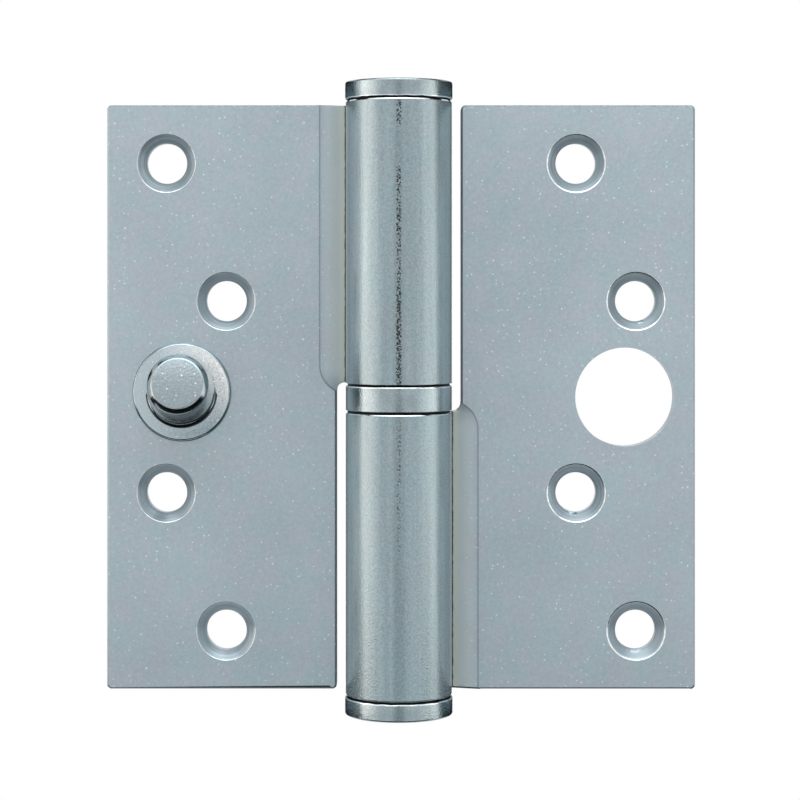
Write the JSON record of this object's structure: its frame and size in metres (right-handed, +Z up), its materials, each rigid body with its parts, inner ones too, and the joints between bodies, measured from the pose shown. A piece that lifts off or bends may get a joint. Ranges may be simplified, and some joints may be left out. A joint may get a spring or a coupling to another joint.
{
  "type": "ball bearing hinge",
  "caption": "Lift-off butt hinge with a ball bearing between two rolled knuckles, countersunk screw holes and a security stud that enters a hole in the other leaf.",
  "frame": {"origin": "on the pin axis at mid height", "axes": "+Z up along the pin axis, +X towards the frame leaf when the hinge lies open and flat, -Y out of the countersunk faces"},
  "size_m": [0.0895, 0.0162, 0.0956],
  "materials": {
    "zinc_leaf": "zinc plated, satin",
    "zinc_cap": "zinc plated, bright",
    "zinc_band": "zinc plated, bright",
    "zinc_stud": "zinc plated, satin",
    "pin_steel": "ground",
    "bearing_steel": "polished",
    "cage_brass": "pressed"
  },
  "bodies": {
    "frame_side": {"frame_leaf": "zinc_leaf", "hinge_pin": "pin_steel", "bottom_cap": "zinc_cap", "bearing_band": "zinc_band", "lower_race": "bearing_steel"},
    "race_side": {"upper_race": "bearing_steel"},
    "ball_set": {"ball_cage": "cage_brass", "ball_01": "bearing_steel", "ball_02": "bearing_steel", "ball_03": "bearing_steel", "ball_04": "bearing_steel", "ball_05": "bearing_steel", "ball_06": "bearing_steel", "ball_07": "bearing_steel", "ball_08": "bearing_steel", "ball_09": "bearing_steel", "ball_10": "bearing_steel", "ball_11": "bearing_steel", "ball_12": "bearing_steel", "ball_13": "bearing_steel", "ball_14": "bearing_steel"},
    "door_side": {"door_leaf": "zinc_leaf", "top_cap": "zinc_cap", "security_stud": "zinc_stud"}
  },
  "joints": [
    {"name": "swing", "type": "hinge", "parent": "frame_side", "child": "race_side", "pos_m": [0, 0, 0], "axis": [0, 0, 1], "range_deg": [-118, 180]},
    {"name": "ball_roll", "type": "hinge", "parent": "frame_side", "child": "ball_set", "pos_m": [0, 0, 0], "axis": [0, 0, 1], "range_deg": [-59, 90]},
    {"name": "lift_off", "type": "slide", "parent": "race_side", "child": "door_side", "axis": [0, 0, 1], "range_m": [0, 0.055]}
  ],
  "couplings": [
    {"joint": "ball_roll", "follows": "swing", "ratio": 0.5}
  ]
}
